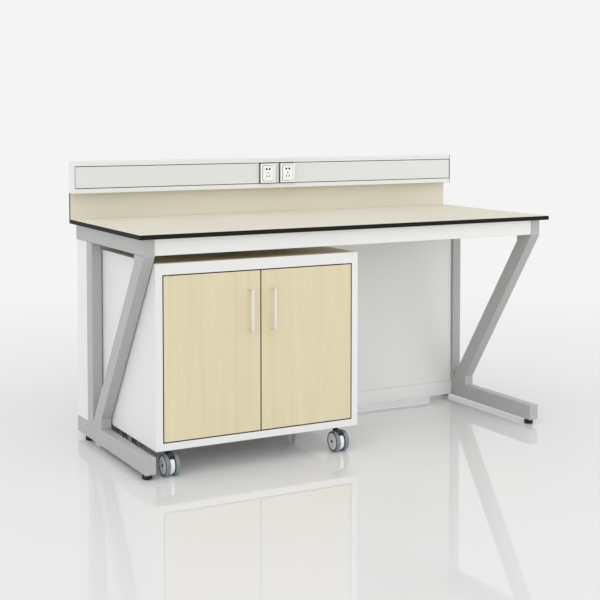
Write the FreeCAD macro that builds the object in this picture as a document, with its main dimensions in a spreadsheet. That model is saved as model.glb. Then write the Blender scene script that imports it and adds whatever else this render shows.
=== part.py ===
"""Laboratory workbench with a rear power trunking and a mobile two-door cabinet.

Frame: +X to the right along the bench, +Y to the back, +Z up.
The origin is on the floor, under the middle of the worktop. Millimetres.
"""
import FreeCAD
import Part
import Sketcher
import os
import re

# Driving dimensions: name, value in millimetres (or degrees), meaning
SIZES = [
    ("bench_length", 1750, "worktop length"),
    ("bench_depth", 750, "worktop depth"),
    ("worktop_height", 850, "top of the worktop above the floor"),
    ("board_thickness", 16, "worktop board"),
    ("board_rounding", 1.5, "eased edge of the worktop"),
    ("splash_height", 102, "backsplash height above the worktop"),
    ("splash_thickness", 13, "backsplash board"),
    ("frame_inset", 25, "worktop end to the outer face of a leg frame"),
    ("front_overhang", 28, "worktop front to the front of the frames"),
    ("rear_overhang", 8, "worktop rear to the rear of the frames"),
    ("tube_width", 40, "leg tube across the frame"),
    ("tube_height", 60, "leg rail height"),
    ("tube_wall", 2, "tube wall"),
    ("tube_corner", 3, "outer corner radius of the tubes"),
    ("end_plate", 3, "plate that closes a rail end"),
    ("foot_clearance", 20, "foot rail above the floor"),
    ("void_depth", 117, "service void from the uprights to the rear of the frames"),
    ("upright_depth", 60, "upright tube depth"),
    ("stub_depth", 92, "top of the slanted brace"),
    ("stub_drop", 32, "rear face of the brace below the top rail"),
    ("toe_depth", 94, "bottom of the slanted brace"),
    ("toe_rise", 39, "front face of the brace above the foot rail"),
    ("toe_heel", 8, "rear face of the brace above the foot rail"),
    ("apron_depth", 30, "front apron beam depth"),
    ("apron_setback", 3, "apron behind the frame fronts"),
    ("beam_depth", 40, "rear beams depth"),
    ("panel_setback", 12, "back panel behind the upright fronts"),
    ("panel_depth", 20, "folded edge of the back panel and end covers"),
    ("panel_rounding", 2, "fold radius of the sheet panels"),
    ("sheet_thickness", 1.2, "sheet steel"),
    ("panel_gap", 0.5, "seam round the sheet panels"),
    ("end_cover_setback", 2, "end cover behind the outer face of the frame"),
    ("bracket_leg", 30, "worktop bracket leg"),
    ("bracket_sheet", 3, "worktop bracket thickness"),
    ("bracket_front_gap", 49, "front apron to the front worktop bracket"),
    ("bracket_rear_gap", 13, "rear top beam to the rear worktop bracket"),
    ("screw_shank", 5, "worktop screw diameter"),
    ("screw_grip", 8, "worktop screw length inside the board"),
    ("screw_head", 10, "worktop screw head diameter"),
    ("screw_head_height", 3.5, "worktop screw head height"),
    ("trunk_depth", 62, "trunking depth"),
    ("trunk_height", 124, "trunking height"),
    ("trunk_lip", 19, "solid strip above and below the trunking cover"),
    ("trunk_ledge", 4, "ledge that the covers clip against"),
    ("trunk_wall", 2.5, "trunking wall"),
    ("trunk_corner", 3, "outer corner radius of the trunking"),
    ("end_cap", 3, "trunking end cap thickness"),
    ("cover_thickness", 2.5, "trunking cover thickness"),
    ("cover_gap", 2.2, "seam round the covers"),
    ("socket_pitch", 92, "spacing of the two sockets"),
    ("socket_width", 68, "socket plate width"),
    ("plate_proud", 10, "socket plate in front of the cover"),
    ("plate_side", 9, "socket plate rim beside the insert"),
    ("plate_rim", 8, "socket plate rim above and below the insert"),
    ("insert_proud", 1.4, "socket insert in front of its plate"),
    ("fit_gap", 0.1, "gap round pieces that are pushed in"),
    ("box_width", 60, "socket back box width"),
    ("box_gap", 2, "socket back box to the cover ledges"),
    ("box_depth", 40, "socket back box depth"),
    ("box_wall", 2, "socket back box wall"),
    ("slot_width", 2.6, "width of the middle and lower socket slots"),
    ("pair_width", 5.6, "width of the upper socket slots"),
    ("slot_height", 7, "socket slot height"),
    ("slot_tilt", 30, "tilt of the lower socket slots, degrees"),
    ("pair_pitch", 14, "spacing of the two upper slots"),
    ("pair_rise", 17, "upper slots above the insert centre"),
    ("earth_rise", 1.5, "middle slot above the insert centre"),
    ("line_pitch", 12.5, "spacing of the two lower slots"),
    ("line_drop", 12.5, "lower slots below the insert centre"),
    ("leaf_thickness", 0.8, "contact leaf thickness"),
    ("leaf_length", 16, "contact leaf length"),
    ("foot_diameter", 36, "levelling foot diameter"),
    ("foot_edge", 2, "rounded rim of a levelling foot"),
    ("foot_shoulder", 6, "sloping top of a levelling foot"),
    ("foot_neck", 28, "top face diameter of a levelling foot"),
    ("stud_diameter", 10, "levelling stud diameter"),
    ("stud_length", 36, "levelling stud length above the foot"),
    ("front_foot_inset", 32, "frame front to the front stud"),
    ("rear_foot_inset", 87, "frame rear to the rear stud"),
    ("nut_size", 17, "weld nut across its corners"),
    ("nut_height", 8, "weld nut height"),
    ("running_gap", 0.05, "radial clearance of studs, stems, pins and axles"),
    ("cabinet_offset", 4, "cabinet side to the inner face of the left frame"),
    ("cabinet_setback", 6, "cabinet front behind the frame fronts"),
    ("cabinet_width", 806, "cabinet width"),
    ("cabinet_clearance", 8, "cabinet rear to the back panel"),
    ("cabinet_headroom", 28, "cabinet top below the front apron"),
    ("side_thickness", 26, "cabinet side boards"),
    ("bottom_thickness", 26, "cabinet bottom board"),
    ("top_thickness", 25, "cabinet top board"),
    ("rail_height", 15, "front rail under the cabinet top"),
    ("rail_depth", 70, "front rail depth"),
    ("back_thickness", 12, "cabinet back board"),
    ("shelf_thickness", 18, "shelf board"),
    ("shelf_rise", 290, "shelf above the cabinet bottom board"),
    ("shelf_front", 60, "shelf behind the cabinet front"),
    ("shelf_gap", 0.5, "shelf to the boards round it"),
    ("shelf_pin", 6, "shelf pin diameter"),
    ("shelf_pin_out", 9, "shelf pin out of the side board"),
    ("shelf_pin_in", 10, "shelf pin inside the side board"),
    ("shelf_pin_inset", 60, "shelf pin from the shelf edge"),
    ("door_thickness", 18, "door board"),
    ("door_gap", 3, "reveal round the doors"),
    ("door_rounding", 1, "eased edge of the doors"),
    ("pivot_inset", 20, "hinge pin from the outer edge of a door"),
    ("pivot_diameter", 6, "hinge pin diameter"),
    ("pivot_in_door", 20, "hinge pin inside the door"),
    ("pivot_in_board", 12, "hinge pin inside the carcass"),
    ("catch_length", 40, "magnetic catch length"),
    ("catch_height", 12, "magnetic catch height"),
    ("catch_depth", 16, "magnetic catch depth"),
    ("catch_offset", 60, "magnetic catch from the cabinet middle"),
    ("catch_gap", 0.3, "magnetic catch to the back of the door"),
    ("handle_offset", 45, "handle from the middle of the cabinet"),
    ("handle_length", 150, "handle length"),
    ("handle_drop", 65, "upper end of the handle below the door head"),
    ("handle_width", 9, "handle bar width"),
    ("handle_bar", 6, "handle bar thickness"),
    ("handle_reach", 30, "handle out of the door"),
    ("handle_bend", 9, "outer bend radius of the handle"),
    ("caster_left_inset", 60, "left caster stems from the cabinet side"),
    ("caster_right_inset", 67, "right caster stems from the cabinet side"),
    ("caster_front_inset", 44.5, "front caster stem from the cabinet front"),
    ("caster_rear_inset", 72.5, "rear caster stem from the cabinet rear"),
    ("caster_trail", 17.5, "wheel axle in front of the stem"),
    ("wheel_diameter", 77, "caster wheel diameter"),
    ("wheel_width", 17, "caster wheel width"),
    ("wheel_shoulder", 4, "rounded shoulder of a caster wheel"),
    ("wheel_rim", 30, "radius of the wheel cap"),
    ("wheel_dish", 1.5, "depth of the wheel cap"),
    ("wheel_gap", 1, "wheel to the hood"),
    ("hood_diameter", 68, "caster hood diameter"),
    ("hood_width", 20, "caster hood width"),
    ("axle_diameter", 8, "caster axle diameter"),
    ("stem_diameter", 10, "caster stem diameter"),
    ("stem_grip", 20, "caster stem inside the cabinet bottom"),
    ("collar_diameter", 14, "caster collar diameter"),
    ("collar_height", 15, "caster collar height"),
    ("collar_gap", 0.5, "collar to the cabinet bottom"),
    ("yoke_rise", 8, "caster yoke above the hood"),
    ("yoke_front", 12, "caster yoke in front of the axle"),
    ("yoke_drop", 18, "caster yoke down behind the hood"),
    ("yoke_gap", 0.2, "caster yoke to the hood"),
]

# Places worked out from the driving dimensions
PLACES = {
    "y_front": "-bench_depth / 2",
    "y_rear": "bench_depth / 2",
    "board_under": "worktop_height - board_thickness",
    "frame_front": "y_front + front_overhang",
    "frame_rear": "y_rear - rear_overhang",
    "frame_depth": "frame_rear - frame_front",
    "frame_outer": "bench_length / 2 - frame_inset",
    "frame_inner": "frame_outer - tube_width",
    "rail_under": "board_under - tube_height",
    "foot_top": "foot_clearance + tube_height",
    "upright_rear": "frame_rear - void_depth",
    "upright_front": "upright_rear - upright_depth",
    "upright_reach": "upright_front - frame_front",
    "panel_front": "upright_front + panel_setback",
    "front_bracket_y": "frame_front + apron_setback + apron_depth + bracket_front_gap",
    "rear_bracket_y": "panel_front + beam_depth + bracket_rear_gap",
    "middle_bracket_y": "(front_bracket_y + rear_bracket_y) / 2",
    "trunk_base": "worktop_height + splash_height",
    "trunk_front": "y_rear - trunk_depth",
    "trunk_half": "bench_length / 2 - end_cap",
    "opening_height": "trunk_height - 2 * trunk_lip",
    "cover_base": "trunk_base + trunk_lip + cover_gap",
    "cover_height": "opening_height - 2 * cover_gap",
    "trunk_middle": "trunk_base + trunk_height / 2",
    "cover_back": "trunk_front + cover_thickness",
    "insert_width": "socket_width - 2 * plate_side",
    "insert_height": "cover_height - 2 * plate_rim",
    "box_height": "opening_height - 2 * (trunk_ledge + box_gap)",
    "socket_outer": "socket_pitch / 2 + socket_width / 2 + cover_gap",
    "socket_inner": "socket_pitch / 2 - socket_width / 2 - cover_gap",
    "cabinet_left": "cabinet_offset - frame_inner",
    "cabinet_right": "cabinet_left + cabinet_width",
    "cabinet_middle": "cabinet_left + cabinet_width / 2",
    "cabinet_front": "frame_front + cabinet_setback",
    "cabinet_rear": "panel_front - cabinet_clearance",
    "cabinet_depth": "cabinet_rear - cabinet_front",
    "cabinet_lift": "stem_base + collar_gap",
    "cabinet_top_z": "rail_under - cabinet_headroom",
    "cabinet_height": "cabinet_top_z - cabinet_lift",
    "inside_left": "cabinet_left + side_thickness",
    "inside_right": "cabinet_right - side_thickness",
    "inside_width": "cabinet_width - 2 * side_thickness",
    "inside_floor": "cabinet_lift + bottom_thickness",
    "inside_ceiling": "cabinet_top_z - top_thickness",
    "inside_rear": "cabinet_rear - back_thickness",
    "door_foot": "inside_floor + door_gap",
    "door_head": "inside_ceiling - rail_height - door_gap",
    "door_height": "door_head - door_foot",
    "door_width": "(inside_width - 3 * door_gap) / 2",
    "door_back": "cabinet_front + door_thickness",
    "pivot_y": "cabinet_front + door_thickness / 2",
    "pivot_offset": "inside_width / 2 - door_gap - pivot_inset",
    "shelf_base": "inside_floor + shelf_rise",
    "shelf_y": "cabinet_front + shelf_front",
    "shelf_depth": "inside_rear - shelf_gap - shelf_y",
    "wheel_radius": "wheel_diameter / 2",
    "hood_top": "wheel_radius + hood_diameter / 2",
    "collar_base": "hood_top + yoke_rise",
    "stem_base": "collar_base + collar_height",
    "stem_top": "cabinet_lift + stem_grip",
}

SIZE_NAMES = {name for name, value, meaning in SIZES}
WORD = re.compile(r"[A-Za-z_]\w*")
LEFT_RIGHT = (("left", -1), ("right", 1))

doc = FreeCAD.newDocument("LabBench")
sheet = doc.addObject("Spreadsheet::Sheet", "Sheet")
for row, (alias, value, meaning) in enumerate(SIZES, start=1):
    sheet.set(f"A{row}", meaning)
    sheet.set(f"B{row}", str(value))
    sheet.setAlias(f"B{row}", alias)
doc.recompute()

nodes = []


def formula(text):
    """Turn names of sizes and places into an expression on the sheet."""
    def swap(match):
        word = match.group(0)
        if word in PLACES:
            return "(" + formula(PLACES[word]) + ")"
        if word in SIZE_NAMES:
            return "Sheet." + word
        return word
    return WORD.sub(swap, str(text))


def measure(text):
    """The present value of a formula."""
    return float(sheet.evalExpression(formula(text)))


def bind(item, prop, text):
    item.setExpression(prop, formula(text))


def place(item, corner):
    for axis, text in zip("xyz", corner):
        bind(item, ".Placement.Base." + axis, text)


def node(item):
    """Keep an item as a finished sub-part under its own name."""
    nodes.append(item)
    return item


def box(name, corner, size):
    item = doc.addObject("Part::Box", name)
    for prop, text in zip(("Length", "Width", "Height"), size):
        bind(item, prop, text)
    place(item, corner)
    return item


TURNS = {
    "x": FreeCAD.Rotation(FreeCAD.Vector(0, 1, 0), 90),
    "y": FreeCAD.Rotation(FreeCAD.Vector(1, 0, 0), -90),
    "z": FreeCAD.Rotation(),
}


def cylinder(name, start, diameter, length, axis="z"):
    item = doc.addObject("Part::Cylinder", name)
    item.Placement.Rotation = TURNS[axis]
    bind(item, "Radius", f"({diameter}) / 2")
    bind(item, "Height", length)
    place(item, start)
    return item


def group(name, items):
    item = doc.addObject("Part::Compound", name)
    item.Links = items
    return item


def cut(name, base, tools):
    item = doc.addObject("Part::Cut", name)
    item.Base = base
    item.Tool = tools[0] if len(tools) == 1 else group(name + "_bores", tools)
    return item


def fuse(name, items):
    item = doc.addObject("Part::MultiFuse", name)
    item.Shapes = items
    item.Refine = True
    return item


def sketch_on(body, plane, name):
    """A new sketch on one of the body's own origin planes."""
    sketch = body.newObject("Sketcher::SketchObject", name)
    support = next(item for item in body.Origin.OriginFeatures if item.Role == plane)
    sketch.AttachmentSupport = [(support, "")]
    sketch.MapMode = "FlatFace"
    return sketch


def draw(sketch, outline):
    """A closed outline of straight lines, each corner held by two formulas."""
    first = sketch.GeometryCount
    count = len(outline)
    corners = [FreeCAD.Vector(measure(across), measure(up), 0) for across, up in outline]
    for index in range(count):
        line = Part.LineSegment(corners[index], corners[(index + 1) % count])
        sketch.addGeometry(line, False)
    for index in range(count):
        after = first + (index + 1) % count
        sketch.addConstraint(Sketcher.Constraint("Coincident", first + index, 2, after, 1))
    for index, corner in enumerate(outline):
        for kind, text in zip(("DistanceX", "DistanceY"), corner):
            held = Sketcher.Constraint(kind, -1, 1, first + index, 1, measure(text))
            number = sketch.addConstraint(held)
            bind(sketch, f"Constraints[{number}]", text)


def rectangle(start, end):
    (left, low), (right, high) = start, end
    return [(left, low), (right, low), (right, high), (left, high)]


def pad_body(name, plane, outlines, length, corner, reverse=False):
    """A body padded from one sketch; returns the body and its pad."""
    body = doc.addObject("PartDesign::Body", name)
    sketch = sketch_on(body, plane, name + "_sketch")
    for outline in outlines:
        draw(sketch, outline)
    pad = body.newObject("PartDesign::Pad", name + "_pad")
    pad.Profile = sketch
    pad.Reversed = reverse
    bind(pad, "Length", length)
    place(body, corner)
    doc.recompute()
    return body, pad


def round_edges(body, base, radius, wanted):
    """Fillet the straight edges of the base feature that the test picks."""
    bounds = base.Shape.BoundBox
    names = []
    for number, edge in enumerate(base.Shape.Edges, start=1):
        if wanted(edge, bounds):
            names.append(f"Edge{number}")
    fillet = body.newObject("PartDesign::Fillet", body.Name + "_fillet")
    fillet.Base = (base, names)
    bind(fillet, "Radius", radius)
    doc.recompute()
    return fillet


def at_corner(axis):
    """A test for the four outer edges that run along an axis."""
    others = [name for name in "XYZ" if name != axis]

    def wanted(edge, bounds):
        own = edge.BoundBox
        on_side = []
        for name in others:
            middle = getattr(own.Center, name.lower())
            low = abs(middle - getattr(bounds, name + "Min"))
            high = abs(middle - getattr(bounds, name + "Max"))
            on_side.append(min(low, high) < 1e-4)
        return all(on_side) and getattr(own, axis + "Length") > 1e-4
    return wanted


def on_face(axis, side):
    """A test for the edges and faces that lie in one outer face."""
    def wanted(item, bounds):
        own = item.BoundBox
        face = getattr(bounds, axis + side)
        low = abs(getattr(own, axis + "Min") - face)
        high = abs(getattr(own, axis + "Max") - face)
        return max(low, high) < 1e-4
    return wanted


def hollow(body, base, wall, axis, sides):
    """Leave a wall of even thickness, open at the named faces."""
    bounds = base.Shape.BoundBox
    tests = [on_face(axis, side) for side in sides]
    names = []
    for number, face in enumerate(base.Shape.Faces, start=1):
        if any(test(face, bounds) for test in tests):
            names.append(f"Face{number}")
    shell = body.newObject("PartDesign::Thickness", body.Name + "_shell")
    shell.Base = (base, names)
    shell.Join = 1
    shell.Reversed = True
    bind(shell, "Value", wall)
    doc.recompute()
    return shell


TUBE_PLANES = {"x": ("YZ_Plane", False), "y": ("XZ_Plane", True), "z": ("XY_Plane", False)}


def tube(name, axis, corner, length, width, height):
    """A rectangular tube along an axis, rounded along its outer edges."""
    plane, reverse = TUBE_PLANES[axis]
    outer = rectangle(("0", "0"), (width, height))
    inner = rectangle(("tube_wall", "tube_wall"), (f"{width} - tube_wall", f"{height} - tube_wall"))
    body, pad = pad_body(name, plane, [outer, inner], length, corner, reverse)
    round_edges(body, pad, "tube_corner", at_corner(axis.upper()))
    return body


def pan(name, corner, size, axis, front, back):
    """A folded sheet panel: rounded front face, open back."""
    across, deep, tall = size
    outline = rectangle(("0", "0"), (deep, tall))
    body, pad = pad_body(name, "YZ_Plane", [outline], across, corner)
    folded = hollow(body, pad, "sheet_thickness", axis, [back])
    round_edges(body, folded, "panel_rounding", on_face(axis, front))
    return body


def turned(name, plane, outline, axis, corner):
    """A body turned round one axis of its sketch."""
    body = doc.addObject("PartDesign::Body", name)
    sketch = sketch_on(body, plane, name + "_sketch")
    draw(sketch, outline)
    turn = body.newObject("PartDesign::Revolution", name + "_turn")
    turn.Profile = sketch
    turn.ReferenceAxis = (sketch, [axis])
    turn.Angle = 360
    place(body, corner)
    return body


def build_worktop():
    """Worktop board, its brackets and screws, and the backsplash."""
    outline = rectangle(("-bench_length / 2", "y_front"), ("bench_length / 2", "y_rear"))
    body, pad = pad_body("worktop_board", "XY_Plane", [outline], "board_thickness",
                         ("0", "0", "board_under"))
    edged = round_edges(body, pad, "board_rounding", on_face("Z", "Max"))
    under = round_edges(body, edged, "board_rounding", on_face("Z", "Min"))
    body.Tip = under
    bores, brackets, screws = [], [], []
    for side, sign in LEFT_RIGHT:
        for row in ("front", "middle", "rear"):
            tag = f"{row}_{side}"
            start_y = f"{row}_bracket_y"
            screw_x = f"{sign} * (frame_inner - bracket_leg / 2)"
            screw_y = f"{start_y} + bracket_leg / 2"
            leg_x = f"{sign} * frame_inner" + (" - bracket_sheet" if sign > 0 else "")
            arm_x = f"{sign} * frame_inner" + (" - bracket_leg" if sign > 0 else "")
            leg = box(f"bracket_leg_{tag}", (leg_x, start_y, "board_under - bracket_leg"),
                      ("bracket_sheet", "bracket_leg", "bracket_leg"))
            arm = box(f"bracket_arm_{tag}", (arm_x, start_y, "board_under - bracket_sheet"),
                      ("bracket_leg", "bracket_leg", "bracket_sheet"))
            angle = fuse(f"bracket_angle_{tag}", [leg, arm])
            hole = cylinder(f"bracket_hole_{tag}", (screw_x, screw_y, "board_under - 2 * bracket_sheet"),
                            "screw_shank", "3 * bracket_sheet")
            brackets.append(cut(f"bracket_{tag}", angle, [hole]))
            bores.append(cylinder(f"screw_bore_{tag}", (screw_x, screw_y, "board_under"),
                                  "screw_shank", "screw_grip"))
            shank = cylinder(f"screw_shank_{tag}", (screw_x, screw_y, "board_under - bracket_sheet"),
                             "screw_shank", "screw_grip + bracket_sheet")
            head_z = "board_under - bracket_sheet - screw_head_height"
            head = cylinder(f"screw_head_{tag}", (screw_x, screw_y, head_z),
                            "screw_head", "screw_head_height")
            screws.append(fuse(f"screw_{tag}", [head, shank]))
    node(cut("worktop", body, bores))
    node(group("worktop_brackets", brackets))
    node(group("worktop_screws", screws))
    node(box("backsplash", ("-bench_length / 2", "y_rear - splash_thickness", "worktop_height"),
             ("bench_length", "splash_thickness", "splash_height")))


def build_frames():
    """Two leg frames: rails, uprights, slanted braces and the rail end plates."""
    plates = []
    for side, sign in LEFT_RIGHT:
        start_x = "-frame_outer" if sign < 0 else "frame_inner"
        rail_y = "frame_front + end_plate"
        rail_length = "frame_depth - 2 * end_plate"
        node(tube(f"{side}_top_rail", "y", (start_x, rail_y, "rail_under"), rail_length,
                  "tube_width", "tube_height"))
        foot_rail = tube(f"{side}_foot_rail_tube", "y", (start_x, rail_y, "foot_clearance"), rail_length,
                         "tube_width", "tube_height")
        bores = []
        for end, stud_y in stud_places():
            bore_place = (stud_x(sign), stud_y, "foot_clearance - tube_wall")
            bores.append(cylinder(f"{side}_{end}_stud_bore", bore_place,
                                  "stud_diameter + 2 * running_gap", "3 * tube_wall"))
        node(cut(f"{side}_foot_rail", foot_rail, bores))
        node(tube(f"{side}_upright", "z", (start_x, "upright_front", "foot_top"), "rail_under - foot_top",
                  "tube_width", "upright_depth"))
        outline = [
            ("0", "rail_under"),
            ("0", "rail_under - tube_wall"),
            ("upright_reach - toe_depth", "foot_top + toe_rise"),
            ("upright_reach - toe_depth", "foot_top"),
            ("upright_reach", "foot_top"),
            ("upright_reach", "foot_top + toe_heel"),
            ("stub_depth", "rail_under - stub_drop"),
            ("stub_depth", "rail_under"),
        ]
        body, pad = pad_body(f"{side}_brace", "YZ_Plane", [outline], "tube_width",
                             (start_x, "frame_front", "0"))
        hollow(body, pad, "tube_wall", "Z", ["Max", "Min"])
        node(body)
        for level, base in (("top", "rail_under"), ("foot", "foot_clearance")):
            for end, plate_y in (("front", "frame_front"), ("rear", "frame_rear - end_plate")):
                plates.append(box(f"{side}_{level}_{end}_plate", (start_x, plate_y, base),
                                  ("tube_width", "end_plate", "tube_height")))
    node(group("rail_end_plates", plates))


def stud_x(sign):
    return f"{sign} * (frame_outer - tube_width / 2)"


def stud_places():
    return (("front", "frame_front + front_foot_inset"), ("rear", "frame_rear - rear_foot_inset"))


def build_feet():
    """Levelling feet under the foot rails, and the nuts welded inside the rails."""
    nuts = []
    for side, sign in LEFT_RIGHT:
        for end, stud_y in stud_places():
            outline = [
                ("0", "0"),
                ("foot_diameter / 2 - foot_edge", "0"),
                ("foot_diameter / 2", "foot_edge"),
                ("foot_diameter / 2", "foot_clearance - foot_shoulder"),
                ("foot_neck / 2", "foot_clearance"),
                ("stud_diameter / 2", "foot_clearance"),
                ("stud_diameter / 2", "foot_clearance + stud_length"),
                ("0", "foot_clearance + stud_length"),
            ]
            node(turned(f"{end}_{side}_foot", "XZ_Plane", outline, "V_Axis", (stud_x(sign), stud_y, "0")))
            nut = doc.addObject("Part::Prism", f"{end}_{side}_nut_blank")
            nut.Polygon = 6
            bind(nut, "Circumradius", "nut_size / 2")
            bind(nut, "Height", "nut_height")
            nut_z = "foot_clearance + tube_wall"
            place(nut, (stud_x(sign), stud_y, nut_z))
            bore = cylinder(f"{end}_{side}_nut_bore", (stud_x(sign), stud_y, nut_z),
                            "stud_diameter + 2 * running_gap", "nut_height")
            nuts.append(cut(f"{end}_{side}_nut", nut, [bore]))
    node(group("foot_nuts", nuts))


def build_beams():
    """Beams between the frames, the back panel and the end covers of the service void."""
    span = "2 * frame_inner"
    node(tube("front_apron", "x", ("-frame_inner", "frame_front + apron_setback", "rail_under"), span,
              "apron_depth", "tube_height"))
    node(tube("rear_top_beam", "x", ("-frame_inner", "panel_front", "rail_under"), span,
              "beam_depth", "tube_height"))
    node(tube("lower_rear_beam", "x", ("-frame_inner", "panel_front", "foot_clearance"), span,
              "beam_depth", "tube_height"))
    node(pan("back_panel", ("-frame_inner + panel_gap", "panel_front", "foot_top + panel_gap"),
             ("2 * (frame_inner - panel_gap)", "panel_depth", "rail_under - foot_top - 2 * panel_gap"),
             "Y", "Min", "Max"))
    cover_size = ("panel_depth", "frame_rear - upright_rear - 2 * panel_gap",
                  "rail_under - foot_top - 2 * panel_gap")
    cover_y = "upright_rear + panel_gap"
    cover_z = "foot_top + panel_gap"
    node(pan("left_end_cover", ("-frame_outer + end_cover_setback", cover_y, cover_z), cover_size,
             "X", "Min", "Max"))
    node(pan("right_end_cover", ("frame_outer - end_cover_setback - panel_depth", cover_y, cover_z),
             cover_size, "X", "Max", "Min"))


def build_trunking():
    """Power trunking on the backsplash: extrusion, covers and end caps."""
    seat = "cover_thickness"
    behind = "cover_thickness + trunk_wall"
    high = "trunk_height - trunk_lip"
    outline = [
        ("0", "0"), ("trunk_depth", "0"), ("trunk_depth", "trunk_height"), ("0", "trunk_height"),
        ("0", high), (seat, high), (seat, f"{high} - trunk_ledge"), (behind, f"{high} - trunk_ledge"),
        (behind, "trunk_height - trunk_wall"), ("trunk_depth - trunk_wall", "trunk_height - trunk_wall"),
        ("trunk_depth - trunk_wall", "trunk_wall"), (behind, "trunk_wall"),
        (behind, "trunk_lip + trunk_ledge"), (seat, "trunk_lip + trunk_ledge"), (seat, "trunk_lip"),
        ("0", "trunk_lip"),
    ]
    body, pad = pad_body("trunking_body", "YZ_Plane", [outline], "2 * trunk_half",
                         ("-trunk_half", "trunk_front", "trunk_base"))
    round_edges(body, pad, "trunk_corner", at_corner("X"))
    node(body)
    caps = []
    for side, sign in LEFT_RIGHT:
        start_x = "-bench_length / 2" if sign < 0 else "trunk_half"
        face = rectangle(("0", "0"), ("trunk_depth", "trunk_height"))
        cap, cap_pad = pad_body(f"{side}_end_cap", "YZ_Plane", [face], "end_cap",
                                (start_x, "trunk_front", "trunk_base"))
        round_edges(cap, cap_pad, "trunk_corner", at_corner("X"))
        caps.append(cap)
    node(group("trunking_end_caps", caps))
    runs = (
        ("left_trunking_cover", "-trunk_half + cover_gap", "-(socket_outer)"),
        ("middle_trunking_cover", "-(socket_inner)", "socket_inner"),
        ("right_trunking_cover", "socket_outer", "trunk_half - cover_gap"),
    )
    for name, start, end in runs:
        node(box(name, (start, "trunk_front", "cover_base"),
                 (f"{end} - ({start})", "cover_thickness", "cover_height")))


def socket_slots(tag, middle_x):
    """Five slot cutters and two contact leaves beside each slot."""
    rows = (
        ("pair_left", "-pair_pitch / 2", "pair_rise", "pair_width", 0),
        ("pair_right", "pair_pitch / 2", "pair_rise", "pair_width", 0),
        ("earth", "0", "earth_rise", "slot_width", 0),
        ("line_left", "-line_pitch / 2", "-line_drop", "slot_width", -1),
        ("line_right", "line_pitch / 2", "-line_drop", "slot_width", 1),
    )
    cutters, leaves = [], []
    depth = "plate_proud + insert_proud + cover_thickness"
    for name, across, up, width, tilt in rows:
        centre_x = f"{middle_x} + {across}"
        centre_z = f"trunk_middle + {up}"
        angle = f"{tilt} * slot_tilt"
        cutters.append(leaned(f"{tag}_slot_{name}", centre_x, centre_z, angle, f"-{width} / 2",
                              "trunk_front - plate_proud - insert_proud", width, depth))
        for edge, offset in (("a", f"-{width} / 2 - leaf_thickness"), ("b", f"{width} / 2")):
            leaves.append(leaned(f"{tag}_leaf_{name}_{edge}", centre_x, centre_z, angle, offset,
                                 "cover_back", "leaf_thickness", "leaf_length"))
    return cutters, leaves


def leaned(name, centre_x, centre_z, angle, offset, start_y, width, depth):
    """A slot-high block leaning by an angle about a slot centre, offset to one side of it."""
    item = doc.addObject("Part::Box", name)
    bind(item, "Length", width)
    bind(item, "Width", depth)
    bind(item, "Height", "slot_height")
    turn = f"({angle}) * 1 deg"
    low = "-slot_height / 2"
    start_x = f"{centre_x} + ({offset}) * cos({turn}) + ({low}) * sin({turn})"
    start_z = f"{centre_z} - ({offset}) * sin({turn}) + ({low}) * cos({turn})"
    corner = f"create(<<vector>>; {start_x}; {start_y}; {start_z})"
    lean = f"create(<<rotation>>; create(<<vector>>; 0; 1; 0); {angle})"
    bind(item, "Placement", f"create(<<placement>>; {corner}; {lean})")
    return item


def build_sockets():
    """Two socket outlets: plates, inserts, back boxes and contacts."""
    inserts, boxes, contacts = [], [], []
    for side, sign in LEFT_RIGHT:
        middle_x = f"{sign} * socket_pitch / 2"
        plate_y = "trunk_front - plate_proud"
        plate = box(f"{side}_plate_blank", (f"{middle_x} - socket_width / 2", plate_y, "cover_base"),
                    ("socket_width", "plate_proud + cover_thickness", "cover_height"))
        window = box(f"{side}_plate_window",
                     (f"{middle_x} - insert_width / 2 - fit_gap", plate_y,
                      "trunk_middle - insert_height / 2 - fit_gap"),
                     ("insert_width + 2 * fit_gap", "plate_proud + cover_thickness",
                      "insert_height + 2 * fit_gap"))
        node(cut(f"{side}_socket_plate", plate, [window]))
        blank = box(f"{side}_insert_blank",
                    (f"{middle_x} - insert_width / 2", f"{plate_y} - insert_proud",
                     "trunk_middle - insert_height / 2"),
                    ("insert_width", "plate_proud + insert_proud + cover_thickness", "insert_height"))
        slots, leaves = socket_slots(side, middle_x)
        inserts.append(cut(f"{side}_insert", blank, slots))
        contacts.extend(leaves)
        shell = box(f"{side}_box_blank",
                    (f"{middle_x} - box_width / 2", "cover_back", "trunk_middle - box_height / 2"),
                    ("box_width", "box_depth", "box_height"))
        room = box(f"{side}_box_room",
                   (f"{middle_x} - box_width / 2 + box_wall", "cover_back",
                    "trunk_middle - box_height / 2 + box_wall"),
                   ("box_width - 2 * box_wall", "box_depth - box_wall", "box_height - 2 * box_wall"))
        boxes.append(cut(f"{side}_box", shell, [room]))
    node(group("socket_inserts", inserts))
    node(group("socket_boxes", boxes))
    node(group("socket_contacts", contacts))


def caster_places():
    """Name, stem x and stem y of each caster."""
    columns = (("left", "cabinet_left + caster_left_inset"),
               ("right", "cabinet_right - caster_right_inset"))
    rows = (("front", "cabinet_front + caster_front_inset"), ("rear", "cabinet_rear - caster_rear_inset"))
    return [(f"{end}_{side}", x, y) for end, y in rows for side, x in columns]


def pivot_places():
    """Side, level, x and lower end of each hinge pin."""
    places = []
    for side, sign in LEFT_RIGHT:
        pivot_x = f"cabinet_middle + {sign} * pivot_offset"
        places.append((side, "lower", pivot_x, "inside_floor - pivot_in_board"))
        places.append((side, "upper", pivot_x, "door_head - pivot_in_door"))
    return places


PIVOT_LENGTH = "pivot_in_board + door_gap + pivot_in_door"


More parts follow.
